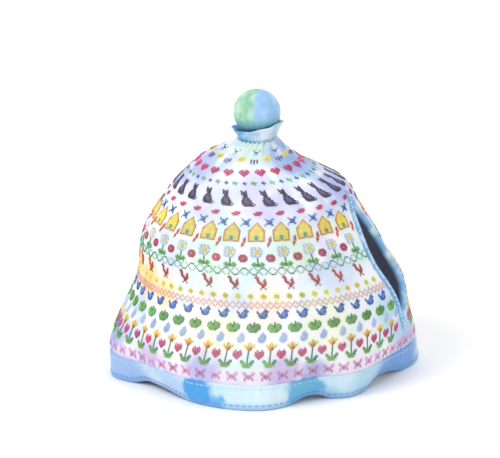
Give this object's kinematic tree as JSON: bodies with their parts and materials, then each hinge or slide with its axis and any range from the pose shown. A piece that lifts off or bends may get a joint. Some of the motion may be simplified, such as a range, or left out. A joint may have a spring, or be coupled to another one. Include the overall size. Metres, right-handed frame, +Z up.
{
  "type": "tea cosy",
  "caption": "Hollow bell-shaped cloth tea cosy with a fluted hem border, a bound slit in each side seam, and a frilled collar with a stuffed bobble on top.",
  "frame": {"origin": "middle of the hem, on the surface the cosy stands on", "axes": "+X from the left slit to the right slit, -Y out of the front panel, +Z up through the bobble"},
  "size_m": [0.19, 0.2002, 0.1862],
  "materials": {
    "embroidered_cotton": "plain woven white cotton with stranded cotton embroidery, matt",
    "blue_cotton": "hand-dyed plain woven cotton, matt",
    "pale_blue_cotton": "plain woven cotton, matt",
    "sea_green_cotton": "hand-dyed plain woven cotton, matt"
  },
  "bodies": {
    "root": {"front_panel": "embroidered_cotton", "back_panel": "embroidered_cotton", "hem_border": "blue_cotton", "left_slit_binding": "pale_blue_cotton", "right_slit_binding": "pale_blue_cotton", "neck_frill": "pale_blue_cotton", "top_bobble": "sea_green_cotton"}
  },
  "joints": []
}
